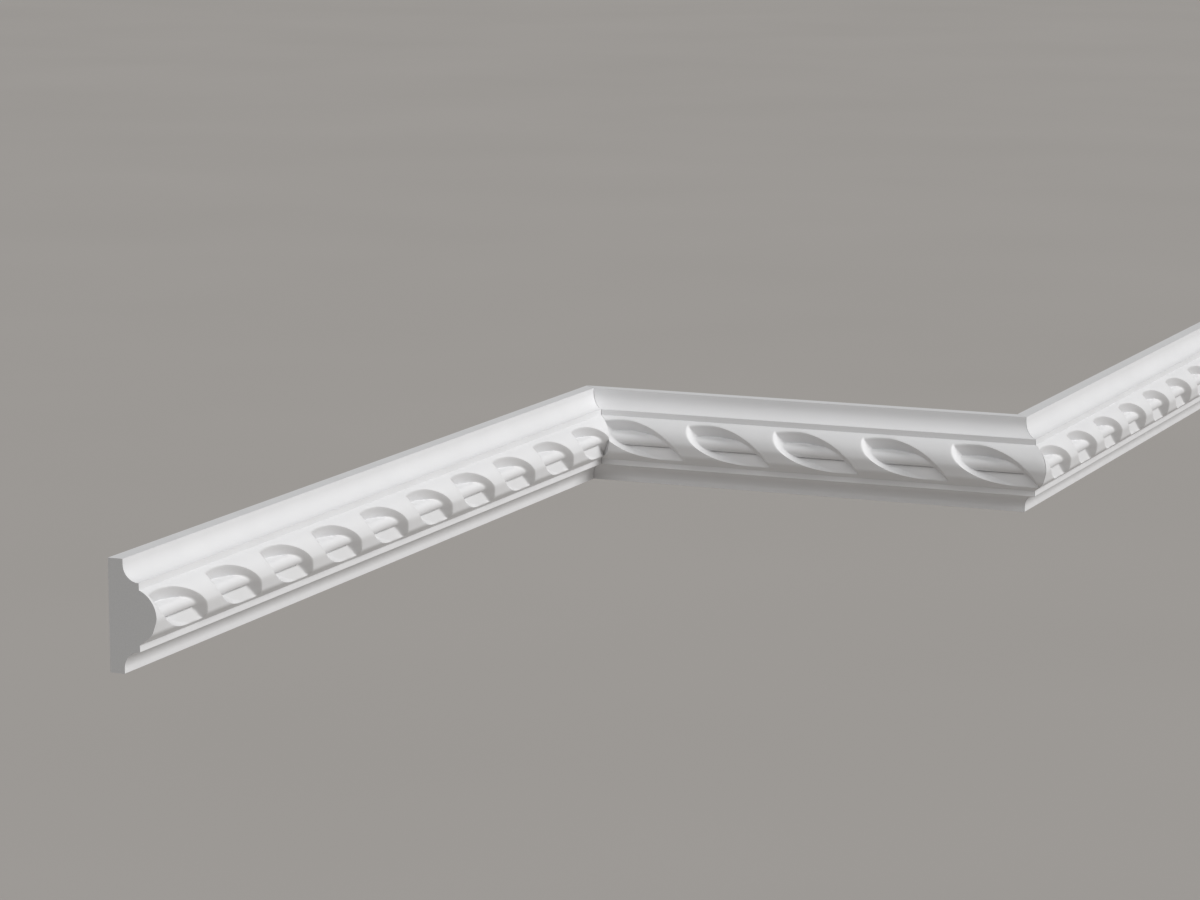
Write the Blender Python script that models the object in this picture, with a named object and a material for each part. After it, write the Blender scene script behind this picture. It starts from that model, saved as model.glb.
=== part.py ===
"""Wall panel moulding: a ribbon wound round a rod, in three lengths mitred round two corners.

The long left length ends in a square cut and meets the middle length in an inner mitre.
The middle length meets the right length in an outer mitre.
Units are metres. Z is up, the middle length's back lies in the plane Y = 0 and the room is at -Y.
The origin is the centre of the middle length's flat back.
"""

import math

import bmesh
import bpy
from mathutils import Matrix

# Depths from the wall
EDGE_DEPTH = 0.0114
FILLET_DEPTH = 0.0236
ROUND_DEPTH = 0.0370

# Heights of the bands, from the centre line up to the top edge, and the same again below it
ROUND_HALF = 0.0192
FILLET_HEIGHT = 0.0048
COVE_HEIGHT = 0.0122
LIP_HEIGHT = 0.0038

# Under its nose the round is cut back to a flatter flank, with a steep underside below that
FLANK_TOP = -0.0010
FLANK_LEAN = math.radians(19.0)
UNDERSIDE_LEAN = math.radians(52.0)

# Lengths of the flat backs, and the open joint left in each mitre
LEFT_LENGTH = 0.8155
MIDDLE_LENGTH = 0.3900
RIGHT_LENGTH = 0.6500
MITRE_GAP = 0.0003

# The ribbon's turn along the rod, and what stays between one opening's tip and the next
TURN = 0.0791
RIBBON_LAND = 0.0031

# Centre of each length's first opening, from where its back starts
LEFT_FIRST = 0.0387
MIDDLE_FIRST = 0.0634
RIGHT_FIRST = 0.0053

# The rod and the flat strip under it, as the openings show them
ROD_RADIUS = 0.0053
ROD_DEPTH = 0.0312
ROD_RISE = 0.0004
STRIP_DEPTH = 0.0268
STRIP_LEAN = math.radians(6.5)

# How far the walls of an opening lean: at its top, at its ends and at its bottom
TOP_DRAFT = math.radians(68.0)
END_DRAFT = math.radians(14.0)
BOTTOM_DRAFT = math.radians(56.0)

# An opening's two edges are parts of ellipses: half length, half height and where the centre lies
# along and up from the opening's middle, as shares of the opening's length and of the round's half
# height. The lower edge is given turned half round about the opening's middle.
UPPER_EDGE = (0.797, 2.068, -0.261, -1.172)
LOWER_EDGE = (0.815, 1.656, -0.343, -0.833)
EDGE_FROM = 118.0
EDGE_TO = -6.0

# Facets
ARC_SEGMENTS = 7
COVE_SEGMENTS = 7
ROD_SEGMENTS = 8
EDGE_SEGMENTS = 18
SMOOTH_ANGLE = math.radians(25.0)

# Cutters reach this far past the surfaces that they cut
REACH = 0.010
PROUD = 0.001

# What follows from the sizes above
HALF_HEIGHT = ROUND_HALF + FILLET_HEIGHT + COVE_HEIGHT + LIP_HEIGHT
OPENING_LENGTH = TURN - RIBBON_LAND
ROUND_RISE = ROUND_DEPTH - FILLET_DEPTH
ROUND_RADIUS = (ROUND_HALF ** 2 + ROUND_RISE ** 2) / (2 * ROUND_RISE)
ROUND_CENTRE = ROUND_DEPTH - ROUND_RADIUS
FLANK_DEPTH = ROUND_CENTRE + math.sqrt(ROUND_RADIUS ** 2 - FLANK_TOP ** 2)

POLYMER_WHITE = (0.755, 0.755, 0.762, 1.0)


def round_depth(height):
    """Depth of the round at a height, and of the fillet beyond it.

    The round is an arc above, and a flank and an underside below.
    """
    if abs(height) >= ROUND_HALF:
        return FILLET_DEPTH
    arc = ROUND_CENTRE + math.sqrt(ROUND_RADIUS ** 2 - height ** 2)
    flank = FLANK_DEPTH - (FLANK_TOP - height) * math.tan(FLANK_LEAN)
    underside = FILLET_DEPTH + (height + ROUND_HALF) * math.tan(UNDERSIDE_LEAN)
    return min(arc, flank, underside)


def flank_foot():
    """Section point (depth, height) where the flank meets the underside."""
    rise = FLANK_DEPTH - FILLET_DEPTH - FLANK_TOP * math.tan(FLANK_LEAN)
    rise -= ROUND_HALF * math.tan(UNDERSIDE_LEAN)
    height = rise / (math.tan(UNDERSIDE_LEAN) - math.tan(FLANK_LEAN))
    return FLANK_DEPTH - (FLANK_TOP - height) * math.tan(FLANK_LEAN), height


def upper_section():
    """Section points (depth, height) from the top of the flank to the back's top edge."""
    points = []
    arc_start = math.asin(FLANK_TOP / ROUND_RADIUS)
    arc_end = math.asin(ROUND_HALF / ROUND_RADIUS)
    for step in range(ARC_SEGMENTS + 1):
        angle = arc_start + (arc_end - arc_start) * step / ARC_SEGMENTS
        depth = ROUND_CENTRE + ROUND_RADIUS * math.cos(angle)
        points.append((depth, ROUND_RADIUS * math.sin(angle)))
    cove_top = HALF_HEIGHT - LIP_HEIGHT
    for step in range(COVE_SEGMENTS + 1):
        angle = math.radians(90.0) * step / COVE_SEGMENTS
        depth = FILLET_DEPTH - (FILLET_DEPTH - EDGE_DEPTH) * math.sin(angle)
        points.append((depth, cove_top - COVE_HEIGHT * math.cos(angle)))
    points.append((EDGE_DEPTH, HALF_HEIGHT))
    points.append((0.0, HALF_HEIGHT))
    return points


def moulding_section():
    """Whole section: the bands beyond the round are the same above and below it."""
    upper = upper_section()
    bands = upper[ARC_SEGMENTS:]
    lower = [(depth, -height) for depth, height in reversed(bands)]
    return lower + [flank_foot()] + upper


def core_section():
    """Section of the rod and of the flat strip that runs down from its underside."""
    rod_centre = ROD_DEPTH - ROD_RADIUS
    start = -math.acos((STRIP_DEPTH - rod_centre) / ROD_RADIUS)
    sweep = math.radians(90.0) - start
    strip_top = ROD_RISE + ROD_RADIUS * math.sin(start)
    strip_foot = -2 * ROUND_HALF
    points = [(0.0, strip_foot)]
    points.append((STRIP_DEPTH + (strip_top - strip_foot) * math.tan(STRIP_LEAN), strip_foot))
    for step in range(ROD_SEGMENTS + 1):
        angle = start + sweep * step / ROD_SEGMENTS
        depth = rod_centre + ROD_RADIUS * math.cos(angle)
        points.append((depth, ROD_RISE + ROD_RADIUS * math.sin(angle)))
    points.append((0.0, ROD_RISE + ROD_RADIUS))
    return points


def edge_point(edge, degrees):
    """Point (along, height) of an opening's edge, from the opening's middle.

    90 degrees is the top of its ellipse and 0 the steepest place, beyond a tip of the opening.
    """
    half_length, half_height, centre_along, centre_up = edge
    angle = math.radians(degrees)
    along = OPENING_LENGTH * (centre_along + half_length * math.cos(angle))
    height = ROUND_HALF * (centre_up + half_height * math.sin(angle))
    return along, height


def inward(edge, degrees):
    """Unit direction (along, height) from an edge into the opening, square to the edge."""
    angle = math.radians(degrees)
    along = -edge[1] * ROUND_HALF * math.cos(angle)
    height = -edge[0] * OPENING_LENGTH * math.sin(angle)
    size = math.hypot(along, height)
    return along / size, height / size


def upper_draft(degrees):
    """Lean of the wall under the upper edge: wide at the top, steeper towards the tip."""
    share = min(max(degrees / 90.0, 0.0), 1.0)
    return END_DRAFT + (TOP_DRAFT - END_DRAFT) * share


def lower_draft(degrees):
    """Lean of the wall over the lower edge: steep at the tip, easing towards the bottom."""
    share = min(max(degrees / 90.0, 0.0), 1.0)
    return END_DRAFT + (BOTTOM_DRAFT - END_DRAFT) * share ** 2


def as_object(name, builder):
    """Turn a finished bmesh into an object of the scene, its faces pointing out."""
    bmesh.ops.recalc_face_normals(builder, faces=builder.faces)
    mesh = bpy.data.meshes.new(name)
    builder.to_mesh(mesh)
    builder.free()
    made = bpy.data.objects.new(name, mesh)
    bpy.context.scene.collection.objects.link(made)
    return made


def prism(name, section, start, end):
    """Solid of a (depth, height) section, drawn out along the wall from start to end."""
    builder = bmesh.new()
    near = [builder.verts.new((start, -depth, height)) for depth, height in section]
    drawn = bmesh.ops.extrude_face_region(builder, geom=[builder.faces.new(near)])
    far = [item for item in drawn["geom"] if isinstance(item, bmesh.types.BMVert)]
    bmesh.ops.translate(builder, verts=far, vec=(end - start, 0.0, 0.0))
    return as_object(name, builder)


def edge_row(edge, level, draft):
    """One row of an edge's wall, at a level or just off the round where the level is further out."""
    row = []
    for step in range(EDGE_SEGMENTS + 1):
        degrees = EDGE_FROM + (EDGE_TO - EDGE_FROM) * step / EDGE_SEGMENTS
        along, height = edge_point(edge, degrees)
        in_along, in_height = inward(edge, degrees)
        surface = round_depth(height)
        shift = math.tan(draft(degrees)) * (surface - min(level, surface + PROUD))
        row.append((along + shift * in_along, height + shift * in_height, surface + PROUD))
    return row


def edge_cutter(name, edge, draft, half_turns):
    """Solid on the open side of one edge of an opening, with that edge's leaning wall.

    The wall has three rows: in front of the round, just off its surface and behind the rod.
    Half turns of 1 turn the solid about the opening's middle, as the lower edge's needs.
    """
    front = ROUND_DEPTH + REACH
    back = STRIP_DEPTH - REACH
    surface_row = edge_row(edge, front, draft)
    front_row = [(along, height, front) for along, height, _ in surface_row]
    back_row = [(along, height, back) for along, height, _ in edge_row(edge, back, draft)]
    far_along = 2 * OPENING_LENGTH
    far_height = 3 * ROUND_HALF
    builder = bmesh.new()
    rings = []
    for row, level in ((front_row, front), (surface_row, ROUND_DEPTH), (back_row, back)):
        closing = [(front_row[-1][0], -far_height, level)]
        closing.append((-far_along, -far_height, level))
        closing.append((-far_along, front_row[0][1], level))
        rings.append([builder.verts.new((x, -depth, z)) for x, z, depth in row + closing])
    builder.faces.new(rings[0])
    builder.faces.new(rings[-1])
    for outer, inner in zip(rings, rings[1:]):
        for index, corner in enumerate(outer):
            after = (index + 1) % len(outer)
            builder.faces.new((corner, inner[index], inner[after], outer[after]))
    bmesh.ops.triangulate(builder, faces=builder.faces)
    turn = Matrix.Rotation(math.pi * half_turns, 4, "Y")
    bmesh.ops.transform(builder, matrix=turn, verts=builder.verts)
    return as_object(name, builder)


def boolean(target, operation, tool):
    """Cut or cross the target with a tool, which stays on it as a hidden cutter."""
    modifier = target.modifiers.new(tool.name, "BOOLEAN")
    modifier.operation = operation
    modifier.solver = "EXACT"
    modifier.object = tool
    tool.parent = target
    tool.hide_render = True
    tool.display_type = "WIRE"


def opening_row(name, first, count):
    """Cutter for a row of openings: one opening, repeated at every turn of the ribbon."""
    row = edge_cutter(name, UPPER_EDGE, upper_draft, 0)
    lower = edge_cutter(name + "_lower_edge", LOWER_EDGE, lower_draft, 1)
    boolean(row, "INTERSECT", lower)
    core = prism(name + "_core", core_section(), -OPENING_LENGTH, OPENING_LENGTH)
    boolean(row, "DIFFERENCE", core)
    repeat = row.modifiers.new("turns", "ARRAY")
    repeat.use_relative_offset = False
    repeat.use_constant_offset = True
    repeat.constant_offset_displace = (TURN, 0.0, 0.0)
    repeat.count = count
    row.location.x = first
    return row


def end_cutter(name, corner, side, slant):
    """Block that takes away all past one end: side is -1 at the start and 1 at the end.

    A slant of 1 or -1 makes a mitre that leaves the wall towards +X or -X, and 0 a square cut.
    Half of the mitre's gap goes with the end.
    """
    size = 4 * ROUND_DEPTH + 2 * HALF_HEIGHT
    setback = abs(slant) * MITRE_GAP / 2
    builder = bmesh.new()
    bmesh.ops.create_cube(builder, size=size)
    past_end = Matrix.Translation((side * (size / 2 - setback), 0.0, 0.0))
    turn = Matrix.Rotation(math.radians(45.0) * slant, 4, "Z")
    to_corner = Matrix.Translation((corner, 0.0, 0.0))
    bmesh.ops.transform(builder, matrix=to_corner @ turn @ past_end, verts=builder.verts)
    return as_object(name, builder)


def carved_length(name, length, first, start_slant, end_slant):
    """One length, carved and cut at both ends, its back from 0 to its length along X."""
    overhang = 2 * ROUND_DEPTH
    stock = prism(name, moulding_section(), -overhang, length + overhang)
    stock.data.shade_smooth()
    stock.data.set_sharp_from_angle(angle=SMOOTH_ANGLE)
    stock.data.materials.append(primed_polymer(name + "_primed_polymer"))
    room = length + max(end_slant, 0) * ROUND_DEPTH + OPENING_LENGTH / 2 - first
    count = 1 + int(room / TURN)
    boolean(stock, "DIFFERENCE", opening_row(name + "_openings", first, count))
    boolean(stock, "DIFFERENCE", end_cutter(name + "_start_cut", 0.0, -1, start_slant))
    boolean(stock, "DIFFERENCE", end_cutter(name + "_end_cut", length, 1, end_slant))
    return stock


def primed_polymer(name):
    """Smooth hard foam with a matt white factory primer."""
    material = bpy.data.materials.new(name)
    material.use_nodes = True
    shader = material.node_tree.nodes["Principled BSDF"]
    shader.inputs["Base Color"].default_value = POLYMER_WHITE
    shader.inputs["Roughness"].default_value = 0.55
    shader.inputs["Metallic"].default_value = 0.0
    material.diffuse_color = POLYMER_WHITE
    return material


def clear_scene():
    """Remove every object that the file starts with."""
    for leftover in list(bpy.data.objects):
        bpy.data.objects.remove(leftover, do_unlink=True)


def build():
    """Make the three lengths and stand them round the two corners."""
    clear_scene()
    corner = MIDDLE_LENGTH / 2
    left = carved_length("left_length", LEFT_LENGTH, LEFT_FIRST, 0, -1)
    left.location = (-corner, -LEFT_LENGTH, 0.0)
    left.rotation_euler.z = math.radians(90.0)
    middle = carved_length("middle_length", MIDDLE_LENGTH, MIDDLE_FIRST, 1, 1)
    middle.location = (-corner, 0.0, 0.0)
    right = carved_length("right_length", RIGHT_LENGTH, RIGHT_FIRST, -1, 0)
    right.location = (corner, 0.0, 0.0)
    right.rotation_euler.z = math.radians(90.0)


build()
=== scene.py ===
"""Dressed model of a wall panel moulding: a ribbon wound round a rod, in three mitred lengths.

One turn of the ribbon is modelled and carved once, the flat bands and coves are drawn out round
it, and each length is that turn repeated, sawn at both ends and stood in its place. Metres, +Z up.
"""

import math

import bmesh
import bpy
import numpy as np
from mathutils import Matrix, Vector


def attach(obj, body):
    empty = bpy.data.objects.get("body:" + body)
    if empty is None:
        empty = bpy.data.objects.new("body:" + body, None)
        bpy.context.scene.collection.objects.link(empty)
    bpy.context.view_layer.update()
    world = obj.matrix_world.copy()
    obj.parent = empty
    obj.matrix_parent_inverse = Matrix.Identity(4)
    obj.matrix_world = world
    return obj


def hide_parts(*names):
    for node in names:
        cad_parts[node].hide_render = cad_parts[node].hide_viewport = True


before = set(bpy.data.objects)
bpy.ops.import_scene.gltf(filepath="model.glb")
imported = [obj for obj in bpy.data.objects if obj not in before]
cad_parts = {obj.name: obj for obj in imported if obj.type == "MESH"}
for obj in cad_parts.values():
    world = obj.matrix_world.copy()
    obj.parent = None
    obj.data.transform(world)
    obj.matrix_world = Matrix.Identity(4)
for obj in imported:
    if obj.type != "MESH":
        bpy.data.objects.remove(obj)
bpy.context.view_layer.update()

# Depths from the wall
EDGE_DEPTH = 0.0114
FILLET_DEPTH = 0.0236
ROUND_DEPTH = 0.0370

# Heights of the bands, up from the centre line
ROUND_HALF = 0.0192
FILLET_HEIGHT = 0.0048
COVE_HEIGHT = 0.0122
LIP_HEIGHT = 0.0038

# Under its nose the round is cut back to a flatter flank, with a steep underside below that
FLANK_TOP = -0.0010
FLANK_LEAN = math.radians(19.0)
UNDERSIDE_LEAN = math.radians(52.0)

# The ribbon's turn along the rod: one opening to the next
TURN = 0.0791

# Lengths of the flat backs, and the open joint left in each mitre
LEFT_LENGTH = 0.8155
MIDDLE_LENGTH = 0.3900
RIGHT_LENGTH = 0.6500
MITRE_GAP = 0.0003

# Centre of each length's first opening, from where its back starts
LEFT_FIRST = 0.0387
MIDDLE_FIRST = 0.0634
RIGHT_FIRST = 0.0053

# The rod, the flat strip under it and the narrow groove between them
ROD_RADIUS = 0.0053
ROD_DEPTH = 0.0312
ROD_RISE = 0.0004
STRIP_DEPTH = 0.0268
STRIP_LEAN = math.radians(6.5)
GROOVE_HALF_WIDTH = 0.0005
GROOVE_CUT = 0.0008

# Above and below the rod its surface falls away this steeply, out of the way of what lies there
BESIDE_ROD_FALL = 4

# How far the walls of an opening lean: at its top, at its ends and at its bottom
TOP_DRAFT = math.radians(68.0)
END_DRAFT = math.radians(14.0)
BOTTOM_DRAFT = math.radians(56.0)

# An opening's two edges are parts of ellipses: half length, half height, and where the centre
# lies along and up from the opening's middle. The lower one is given turned half round.
UPPER_EDGE = (0.0606, 0.0397, -0.0198, -0.0225)
LOWER_EDGE = (0.0619, 0.0318, -0.0261, -0.0160)

# Nearer to an ellipse's centre than this share of its size, no way out is worked out
NEAREST_CENTRE = 0.05

# The ribbon is a little crowned: what its edges fall by, and over what width
CROWN = 0.0002
CROWN_WIDTH = 0.0060

# How softly the surfaces run into each other, as a depth
RIM_SOFTNESS = 0.0003
WALL_SOFTNESS = 0.0012
ROD_SOFTNESS = 0.0002
CORNER_SOFTNESS = 0.0020
FLANK_SOFTNESS = 0.0020
NOSE_SOFTNESS = FLANK_SOFTNESS / 3
FOOT_SOFTNESS = 0.0002

# The rim's extra softness at the ribbon's shoulder: from what height up to what height it grows,
# and within what run before the opening's middle
SHOULDER_SOFTNESS = 0.0024
SHOULDER_START = -0.0020
SHOULDER_TOP = 0.0130
SHOULDER_RUN = 0.0200

# The fine mesh of one turn
COLUMNS = 122
ROWS = 70
COVE_STEPS = 20
ARRIS_RADIUS = 0.00035
ARRIS_STEPS = 3
SMOOTH_ANGLE = math.radians(40.0)

# Its rows crowd together at the groove: how many times closer, and within what height
ROW_CROWDING = 3.2
CROWDED_HEIGHT = 0.0008
ROW_SAMPLES = 2001

# Places nearer than this are the same place, and a hair is well under that
SAME_PLACE = 1e-5
HAIR = 1e-6

# A sawn face has more corners than this, lies this square to the cut and this near to it
SAWN_CORNERS = 20
SAWN_SQUARENESS = 0.01
SAWN_NEARNESS = 1e-4
SAWN_SHADED_FINISH = 1

# Colours, as linear light
PRIMER_WHITE = (0.755, 0.755, 0.762)
PRIMER_THIN = (0.735, 0.735, 0.742)
# The sawn greys are bare foam's own tone, and are also darkened as painted shade on the sawn end
# faces
SAWN_SHADED_WHITE = (0.575, 0.575, 0.575)
SAWN_SHADED_PORE = (0.54, 0.54, 0.54)
FLOOR_PALE = (0.43, 0.408, 0.386)
FLOOR_SHADE = (0.415, 0.394, 0.372)

# Roughness of each finish, and the two greys that the primer's lies between
PRIMER_ROUGHNESS = 0.55
PRIMER_SMOOTHER = (0.50, 0.50, 0.50)
PRIMER_ROUGHER = (0.60, 0.60, 0.60)
SAWN_ROUGHNESS = 0.85
FLOOR_ROUGHNESS = 0.8

# Patterns: grains a metre and how finely each is broken up, and the share at which a blend
# of two colours starts and ends
PRIMER_CLOUDS = (22.0, 3.0)
PRIMER_SHEEN = (60.0, 2.0)
PRIMER_RIPPLE = (140.0, 2.0)
PRIMER_GRAIN = (1500.0, 2.0)
SAWN_SPECKS = (900.0, 3.0)
SAWN_PORES = (1200.0, 3.0)
FLOOR_CLOUDS = (0.7, 2.0)
BLEND_START = 0.3
BLEND_END = 0.7

# How deep the patterns go into the surfaces
RIPPLE_DEPTH = 0.00002
GRAIN_DEPTH = 0.000006
PORE_DEPTH = 0.00001

# The floor, and the light: where each lamp stands, its power and how wide it looks in degrees
HANG_HEIGHT = 0.90
FLOOR_SIZE = 90.0
KEY_FROM = (0.838, -0.02, 0.545)
KEY_POWER = 2.42
KEY_WIDTH = 32.0
FILL_FROM = (0.0, -0.669, 0.743)
FILL_POWER = 0.97
FILL_WIDTH = 40.0
SKY_POWER = 0.14

# The camera
CAMERA_PLACE = (1.1178, -3.0197, 0.5598)
CAMERA_LENS = 114.77
CAMERA_SENSOR = 36.0
CAMERA_REACH = 200.0
CAMERA_TURN = 23.30
CAMERA_DOWN = 9.94

# What follows from the sizes above
HALF_HEIGHT = ROUND_HALF + FILLET_HEIGHT + COVE_HEIGHT + LIP_HEIGHT
ROUND_RISE = ROUND_DEPTH - FILLET_DEPTH
ROUND_RADIUS = (ROUND_HALF ** 2 + ROUND_RISE ** 2) / (2 * ROUND_RISE)
ROUND_CENTRE = ROUND_DEPTH - ROUND_RADIUS
FLANK_DEPTH = ROUND_CENTRE + math.sqrt(ROUND_RADIUS ** 2 - FLANK_TOP ** 2)
ROD_CENTRE = ROD_DEPTH - ROD_RADIUS
GROOVE_HEIGHT = ROD_RISE - math.sqrt(ROD_RADIUS ** 2 - (STRIP_DEPTH - ROD_CENTRE) ** 2)


def softer_low(first, second, reach):
    """The lower of two surfaces, rounded over where they meet."""
    closeness = np.maximum(reach - np.abs(first - second), 0.0) / reach
    return np.minimum(first, second) - closeness * closeness * reach / 4


def softer_high(first, second, reach):
    """The higher of two surfaces, filled in where they meet."""
    return -softer_low(-first, -second, reach)


def eased(value, start, end):
    """0 before the start, 1 past the end and an easy curve between them."""
    share = np.clip((value - start) / (end - start), 0.0, 1.0)
    return share * share * (3 - 2 * share)


def round_depth(height):
    """Depth of the plain round at a height: an arc above, and a flank and an underside below."""
    height = np.clip(height, -ROUND_HALF, ROUND_HALF)
    arc = ROUND_CENTRE + np.sqrt(ROUND_RADIUS ** 2 - height ** 2)
    flank = FLANK_DEPTH - (FLANK_TOP - height) * math.tan(FLANK_LEAN)
    underside = FILLET_DEPTH + (height + ROUND_HALF) * math.tan(UNDERSIDE_LEAN)
    return softer_low(arc, softer_low(flank, underside, FLANK_SOFTNESS), NOSE_SOFTNESS)


def from_edge(edge, along, height):
    """How far inside one of an opening's edges, which way is out, and how far round it.

    The last is 1 at the top of the edge's ellipse and 0 at its steep end.
    """
    half_length, half_height, centre_along, centre_up = edge
    across = (along - centre_along) / half_length
    up = (height - centre_up) / half_height
    ratio = np.maximum(np.hypot(across, up), NEAREST_CENTRE)
    slope_along = across / (ratio * half_length)
    slope_up = up / (ratio * half_height)
    slope = np.hypot(slope_along, slope_up)
    inside = (1 - ratio) / slope
    turned = np.clip(np.arctan2(up, across) / math.radians(90.0), 0.0, 1.0)
    return inside, slope_along / slope, slope_up / slope, turned


def core_depth(height):
    """Depth of the rod and of the strip under it, with the groove between them."""
    from_axis = np.abs(height - ROD_RISE)
    rod = ROD_CENTRE + np.sqrt(np.maximum(ROD_RADIUS ** 2 - from_axis ** 2, 0.0))
    beside_rod = ROD_CENTRE - BESIDE_ROD_FALL * (from_axis - ROD_RADIUS)
    rod = np.where(from_axis < ROD_RADIUS, rod, beside_rod)
    strip = STRIP_DEPTH + (GROOVE_HEIGHT - height) * math.tan(STRIP_LEAN)
    strip = np.where(height < 0.0, strip, 0.0)
    groove = np.clip(1 - np.abs(height - GROOVE_HEIGHT) / GROOVE_HALF_WIDTH, 0.0, 1.0)
    return softer_high(rod, strip, ROD_SOFTNESS) - GROOVE_CUT * groove


def carved_depth(along, height):
    """Depth of the carved half-round, at places along one turn measured from its opening."""
    plain = round_depth(height)
    carving = np.full_like(plain, 1.0)
    crown = np.zeros_like(plain)
    softness = np.full_like(plain, RIM_SOFTNESS)
    for turn in (-1, 0, 1):
        place = along - turn * TURN
        upper_in, _, out_up, upper_turned = from_edge(UPPER_EDGE, place, height)
        lower_in, _, out_down, lower_turned = from_edge(LOWER_EDGE, -place, -height)
        upper_draft = END_DRAFT + (TOP_DRAFT - END_DRAFT) * upper_turned
        lower_draft = END_DRAFT + (BOTTOM_DRAFT - END_DRAFT) * lower_turned ** 2
        upper_rim = round_depth(height + upper_in * out_up) - CROWN
        lower_rim = round_depth(height - lower_in * out_down) - CROWN
        upper_wall = upper_rim - upper_in / np.tan(upper_draft)
        lower_wall = lower_rim - lower_in / np.tan(lower_draft)
        walls = softer_high(upper_wall, lower_wall, CORNER_SOFTNESS)
        opening = softer_high(walls, core_depth(height), WALL_SOFTNESS)
        outside = np.maximum(-upper_in, -lower_in)
        by_the_edge = np.clip(1 - outside / CROWN_WIDTH, 0.0, 1.0)
        crown = np.maximum(crown, by_the_edge * by_the_edge)
        raised = eased(height, SHOULDER_START, SHOULDER_TOP)
        before_middle = eased(-place, 0.0, SHOULDER_RUN)
        soft_here = RIM_SOFTNESS + SHOULDER_SOFTNESS * raised * before_middle
        softness = np.where(opening < carving, soft_here, softness)
        carving = np.minimum(carving, opening)
    fillet = np.full_like(plain, FILLET_DEPTH)
    crowned = softer_high(plain - CROWN * crown, fillet, FOOT_SOFTNESS)
    return softer_low(crowned, carving, softness)


def onto_edges(along, height, row_gap):
    """Move the places that lie next to an opening's edge onto it, and say which they are.

    The first and last column stay put, because they have to meet those of the next turn.
    """
    free = np.abs(along) < TURN / 2 - HAIR
    moved = np.zeros(len(along), bool)
    for flip, edge, facing in ((1, UPPER_EDGE, LOWER_EDGE), (-1, LOWER_EDGE, UPPER_EDGE)):
        inside, out_along, out_up, _ = from_edge(edge, flip * along, flip * height)
        other, _, _, _ = from_edge(facing, -flip * along, -flip * height)
        reach = np.maximum(np.abs(out_along) * TURN / COLUMNS, np.abs(out_up) * row_gap) / 2
        beside = free & (np.abs(inside) < reach) & (other > -reach)
        along = along + np.where(beside, flip * inside * out_along, 0.0)
        height = height + np.where(beside, flip * inside * out_up, 0.0)
        moved |= beside
    return along, height, moved


def row_heights():
    """Heights of the mesh's rows, closer together at the groove under the rod."""
    fine = np.linspace(-ROUND_HALF, ROUND_HALF, ROW_SAMPLES)
    crowding = 1 + ROW_CROWDING * np.exp(-((fine - GROOVE_HEIGHT) / CROWDED_HEIGHT) ** 2)
    passed = np.concatenate([[0.0], np.cumsum((crowding[1:] + crowding[:-1]) / 2)])
    return np.interp(np.linspace(0.0, passed[-1], ROWS + 1), passed, fine)


def near(first, second):
    """Whether two sizes are the same to a hundredth of a millimetre."""
    return abs(first - second) < SAME_PLACE


def pick(piece):
    """Select one piece alone and make it the active one."""
    bpy.ops.object.select_all(action="DESELECT")
    piece.select_set(True)
    bpy.context.view_layer.objects.active = piece


def edit(piece, mode="VERT"):
    """Open a piece in edit mode with nothing selected."""
    pick(piece)
    bpy.ops.object.mode_set(mode="EDIT")
    bpy.ops.mesh.select_mode(type=mode)
    bpy.ops.mesh.select_all(action="DESELECT")


def leave_edit():
    """Go back to object mode."""
    bpy.ops.object.mode_set(mode="OBJECT")


def select_edges(piece, wanted):
    """In edit mode, select the edges that pass a test of where their two ends are."""
    builder = bmesh.from_edit_mesh(piece.data)
    for edge in builder.edges:
        edge.select = wanted(edge.verts[0].co, edge.verts[1].co)
    builder.select_flush_mode()
    bmesh.update_edit_mesh(piece.data)


def both(test):
    """The test of an edge that asks the same of both its ends."""
    return lambda first, second: test(first) and test(second)


def divides_bands(first, second):
    """Whether an edge cuts the flat bands, the coves or the back up crosswise."""
    middle = (first + second) / 2
    crosswise = near(first.x, second.x) and abs(middle.x) < TURN / 2 - SAME_PLACE
    return crosswise and (abs(middle.z) > ROUND_HALF or near(middle.y, 0.0))


def extrude(move):
    """Draw the selected edges out by a straight move."""
    bpy.ops.mesh.extrude_region_move(TRANSFORM_OT_translate={"value": move})


def apply_modifier(piece, kind, **settings):
    """Add a modifier to a piece and apply it."""
    pick(piece)
    modifier = piece.modifiers.new(kind.lower(), kind)
    for setting, value in settings.items():
        setattr(modifier, setting, value)
    bpy.ops.object.modifier_apply(modifier=modifier.name)


def join_along(piece, chosen):
    """Join neighbouring chosen corners across the faces that part them, into a line of edges."""
    edit(piece)
    leave_edit()
    piece.data.vertices.foreach_set("select", chosen)
    bpy.ops.object.mode_set(mode="EDIT")
    bpy.ops.mesh.vert_connect()
    leave_edit()


def relief_grid():
    """One turn of the half-round as a fine upright grid, carved with its opening."""
    bpy.ops.object.select_all(action="DESELECT")
    bpy.ops.mesh.primitive_grid_add(
        x_subdivisions=COLUMNS, y_subdivisions=ROWS, size=1.0,
        rotation=(math.radians(90.0), 0.0, 0.0))
    piece = bpy.context.active_object
    bpy.ops.object.transform_apply(location=False, rotation=True, scale=False)
    places = np.empty(len(piece.data.vertices) * 3)
    piece.data.vertices.foreach_get("co", places)
    places = places.reshape(-1, 3)
    rows = np.rint((places[:, 2] + 0.5) * ROWS).astype(int)
    heights = row_heights()
    row_gap = np.gradient(heights)[rows]
    along, height, on_edge = onto_edges(places[:, 0] * TURN, heights[rows], row_gap)
    carved = np.column_stack([along, -carved_depth(along, height), height])
    piece.data.vertices.foreach_set("co", carved.ravel())
    piece.data.update()
    join_along(piece, on_edge)
    return piece


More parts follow.
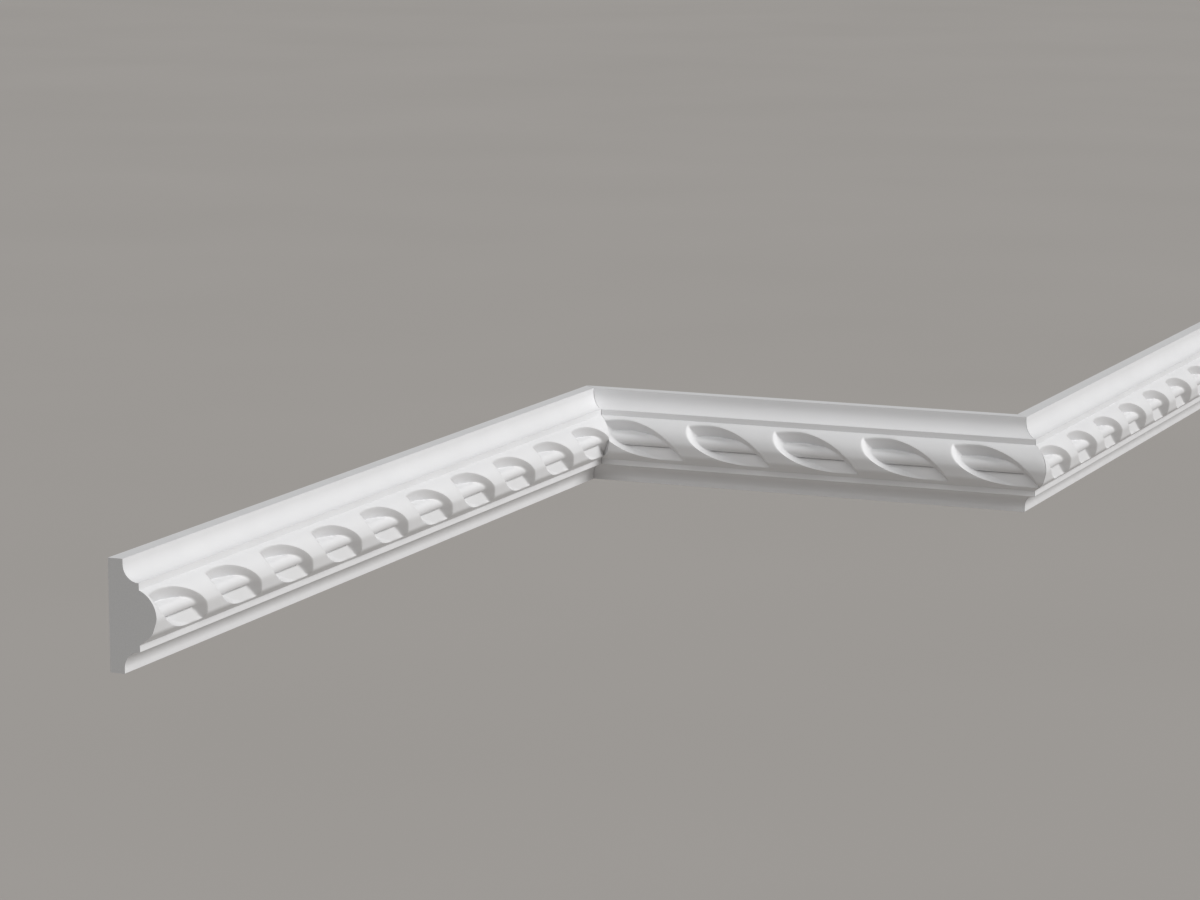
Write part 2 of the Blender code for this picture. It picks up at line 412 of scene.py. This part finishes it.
def draw_out_bands(piece, side):
    """Draw the fillet, the cove, the lip and the edge out from the grid's top or bottom row."""
    edit(piece, "EDGE")
    select_edges(piece, both(lambda place: near(place.z, side * ROUND_HALF)))
    extrude((0.0, 0.0, side * FILLET_HEIGHT))
    centre = (0.0, -FILLET_DEPTH, side * (ROUND_HALF + FILLET_HEIGHT + COVE_HEIGHT))
    bpy.ops.mesh.spin(
        steps=COVE_STEPS, angle=math.radians(-90.0) * side, center=centre, axis=(1.0, 0.0, 0.0))
    extrude((0.0, 0.0, side * LIP_HEIGHT))
    extrude((0.0, EDGE_DEPTH, 0.0))
    leave_edit()


def one_turn():
    """One turn of the whole moulding, open at both ends: relief, bands and flat back."""
    piece = relief_grid()
    draw_out_bands(piece, 1)
    draw_out_bands(piece, -1)
    edit(piece, "EDGE")
    select_edges(piece, both(lambda place: near(place.y, 0.0)))
    bpy.ops.mesh.bridge_edge_loops()
    bpy.ops.mesh.select_all(action="DESELECT")
    select_edges(piece, divides_bands)
    bpy.ops.mesh.dissolve_edges(use_verts=True)
    arrises = [
        (FILLET_DEPTH, ROUND_HALF + FILLET_HEIGHT), (EDGE_DEPTH, HALF_HEIGHT), (0.0, HALF_HEIGHT)]
    for depth, height in arrises:
        bpy.ops.mesh.select_all(action="DESELECT")
        select_edges(
            piece, both(lambda place: near(-place.y, depth) and near(abs(place.z), height)))
        bpy.ops.mesh.bevel(offset=ARRIS_RADIUS, segments=ARRIS_STEPS, affect="EDGES")
    leave_edit()
    return piece


def saw(piece, corner, side, slant):
    """Saw a length through at one end and close the cut: side -1 is its start and 1 its end.

    A slant of 1 or -1 makes a mitre that leaves the wall towards +X or -X, and 0 a square cut.
    """
    angle = math.radians(45.0) * slant
    outward = Vector((math.cos(angle), math.sin(angle), 0.0)) * side
    place = Vector((corner, 0.0, 0.0)) - outward * MITRE_GAP / 2 * abs(slant)
    edit(piece)
    bpy.ops.mesh.select_all(action="SELECT")
    bpy.ops.mesh.bisect(
        plane_co=place, plane_no=outward, use_fill=True, clear_outer=True, threshold=HAIR)
    leave_edit()
    for face in piece.data.polygons:
        square = face.normal.cross(outward).length < SAWN_SQUARENESS
        if len(face.vertices) > SAWN_CORNERS and square:
            if abs((face.center - place).dot(outward)) < SAWN_NEARNESS:
                # The sawn faces take the sawn finish, whose grey is bare foam darkened further as
                # painted shade
                face.material_index = SAWN_SHADED_FINISH


def sawn_length(turn, name, length, first, start_slant, end_slant):
    """One length of moulding: the turn repeated, sawn at both ends, its back from 0 along X."""
    piece = turn.copy()
    piece.data = turn.data.copy()
    piece.name = name
    bpy.context.scene.collection.objects.link(piece)
    # The row of turns starts one before the first opening and outreaches the far mitre
    count = 2 + int((length + ROUND_DEPTH - first) / TURN + 0.5)
    apply_modifier(
        piece, "ARRAY", count=count, use_relative_offset=False, use_constant_offset=True,
        constant_offset_displace=(TURN, 0.0, 0.0),
        use_merge_vertices=True, merge_threshold=SAME_PLACE)
    piece.location.x = first - TURN
    bpy.ops.object.transform_apply(location=True, rotation=False, scale=False)
    saw(piece, 0.0, -1, start_slant)
    saw(piece, length, 1, end_slant)
    edit(piece)
    bpy.ops.mesh.select_all(action="SELECT")
    bpy.ops.mesh.normals_make_consistent(inside=False)
    leave_edit()
    return piece


def stand(piece, corner, turned):
    """Stand a length on its wall, its start at a corner of the walls, and smooth it."""
    piece.location = corner
    piece.rotation_euler.z = math.radians(turned)
    pick(piece)
    bpy.ops.object.transform_apply(location=True, rotation=True, scale=False)
    bpy.ops.object.shade_smooth_by_angle(angle=SMOOTH_ANGLE)
    apply_modifier(piece, "WEIGHTED_NORMAL", keep_sharp=True)


def new_material(name, colour, roughness):
    """A plain material, its node tree and its shader."""
    material = bpy.data.materials.new(name)
    material.use_nodes = True
    shader = material.node_tree.nodes["Principled BSDF"]
    shader.inputs["Base Color"].default_value = (*colour, 1.0)
    shader.inputs["Roughness"].default_value = roughness
    return material, material.node_tree, shader


def noise(tree, grains, detail):
    """A noise pattern on the object's own coordinates, so many grains to the metre."""
    places = tree.nodes.new("ShaderNodeTexCoord")
    pattern = tree.nodes.new("ShaderNodeTexNoise")
    pattern.inputs["Scale"].default_value = grains
    pattern.inputs["Detail"].default_value = detail
    tree.links.new(places.outputs["Object"], pattern.inputs["Vector"])
    return pattern.outputs["Fac"]


def blend(tree, pattern, low, high):
    """Two colours or greys blended by a pattern."""
    mixed = tree.nodes.new("ShaderNodeValToRGB")
    mixed.color_ramp.elements[0].position = BLEND_START
    mixed.color_ramp.elements[1].position = BLEND_END
    mixed.color_ramp.elements[0].color = (*low, 1.0)
    mixed.color_ramp.elements[1].color = (*high, 1.0)
    tree.links.new(pattern, mixed.inputs["Fac"])
    return mixed.outputs["Color"]


def add_bumps(tree, shader, layers):
    """Bump the surface with layers of (pattern, depth in metres)."""
    below = None
    for pattern, depth in layers:
        bump = tree.nodes.new("ShaderNodeBump")
        bump.inputs["Strength"].default_value = 1.0
        bump.inputs["Distance"].default_value = depth
        tree.links.new(pattern, bump.inputs["Height"])
        if below is not None:
            tree.links.new(below, bump.inputs["Normal"])
        below = bump.outputs["Normal"]
    tree.links.new(below, shader.inputs["Normal"])


def primed_polymer():
    """Smooth hard foam under a sprayed coat of matt white primer."""
    material, tree, shader = new_material("primed_polymer", PRIMER_WHITE, PRIMER_ROUGHNESS)
    colour = blend(tree, noise(tree, *PRIMER_CLOUDS), PRIMER_THIN, PRIMER_WHITE)
    tree.links.new(colour, shader.inputs["Base Color"])
    gloss = blend(tree, noise(tree, *PRIMER_SHEEN), PRIMER_SMOOTHER, PRIMER_ROUGHER)
    tree.links.new(gloss, shader.inputs["Roughness"])
    ripple = noise(tree, *PRIMER_RIPPLE)
    grain = noise(tree, *PRIMER_GRAIN)
    add_bumps(tree, shader, [(ripple, RIPPLE_DEPTH), (grain, GRAIN_DEPTH)])
    return material


def sawn_and_shaded_polymer():
    """The same foam where it is sawn through: bare, matt and finely pored, its grey also darkened
    as painted shade on the sawn ends.
    """
    material, tree, shader = new_material("sawn_and_shaded_polymer", SAWN_SHADED_WHITE, SAWN_ROUGHNESS)
    colour = blend(tree, noise(tree, *SAWN_SPECKS), SAWN_SHADED_PORE, SAWN_SHADED_WHITE)
    tree.links.new(colour, shader.inputs["Base Color"])
    add_bumps(tree, shader, [(noise(tree, *SAWN_PORES), PORE_DEPTH)])
    return material


def lamp(name, place, power, width):
    """A lamp as far off as the sun, in the direction of a place."""
    sun = bpy.data.lights.new(name, "SUN")
    sun.energy = power
    sun.angle = math.radians(width)
    stand_in = bpy.data.objects.new(name, sun)
    stand_in.rotation_euler = Vector(place).to_track_quat("Z", "Y").to_euler()
    bpy.context.scene.collection.objects.link(stand_in)


def floor_and_light():
    """A pale floor well below the moulding, a key, a soft fill and a dim even sky."""
    bpy.ops.object.select_all(action="DESELECT")
    bpy.ops.mesh.primitive_plane_add(size=FLOOR_SIZE, location=(0.0, 0.0, -HANG_HEIGHT))
    floor = bpy.context.active_object
    floor.name = "floor"
    material, tree, shader = new_material("floor_paint", FLOOR_PALE, FLOOR_ROUGHNESS)
    colour = blend(tree, noise(tree, *FLOOR_CLOUDS), FLOOR_SHADE, FLOOR_PALE)
    tree.links.new(colour, shader.inputs["Base Color"])
    floor.data.materials.append(material)

    lamp("key", KEY_FROM, KEY_POWER, KEY_WIDTH)
    lamp("fill", FILL_FROM, FILL_POWER, FILL_WIDTH)
    world = bpy.data.worlds.new("studio")
    world.use_nodes = True
    background = world.node_tree.nodes["Background"]
    background.inputs["Color"].default_value = (1.0, 1.0, 1.0, 1.0)
    background.inputs["Strength"].default_value = SKY_POWER
    bpy.context.scene.world = world
    bpy.context.scene.view_settings.view_transform = "Standard"


def set_camera():
    """A long lens from the front right, a little above the moulding."""
    lens = bpy.data.cameras.new("camera")
    lens.sensor_width = CAMERA_SENSOR
    lens.lens = CAMERA_LENS
    lens.clip_end = CAMERA_REACH
    camera = bpy.data.objects.new("camera", lens)
    camera.location = CAMERA_PLACE
    camera.rotation_euler = (math.radians(90.0 - CAMERA_DOWN), 0.0, math.radians(CAMERA_TURN))
    bpy.context.scene.collection.objects.link(camera)
    bpy.context.scene.camera = camera


def build():
    """Make the three lengths, stand them round the two corners and light them."""
    floor_and_light()
    set_camera()
    turn = one_turn()
    for finish in (primed_polymer(), sawn_and_shaded_polymer()):
        turn.data.materials.append(finish)
    corner = MIDDLE_LENGTH / 2
    lengths = [
        ("left", LEFT_LENGTH, LEFT_FIRST, 0, -1, (-corner, -LEFT_LENGTH, 0.0), 90.0),
        ("middle", MIDDLE_LENGTH, MIDDLE_FIRST, 1, 1, (-corner, 0.0, 0.0), 0.0),
        ("right", RIGHT_LENGTH, RIGHT_FIRST, -1, 0, (corner, 0.0, 0.0), 90.0),
    ]
    for side, length, first, start_slant, end_slant, place, turned in lengths:
        piece = sawn_length(turn, side + "_moulding", length, first, start_slant, end_slant)
        stand(piece, place, turned)
        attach(piece, "root")
        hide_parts(side + "_length")
    bpy.data.objects.remove(turn, do_unlink=True)


build()
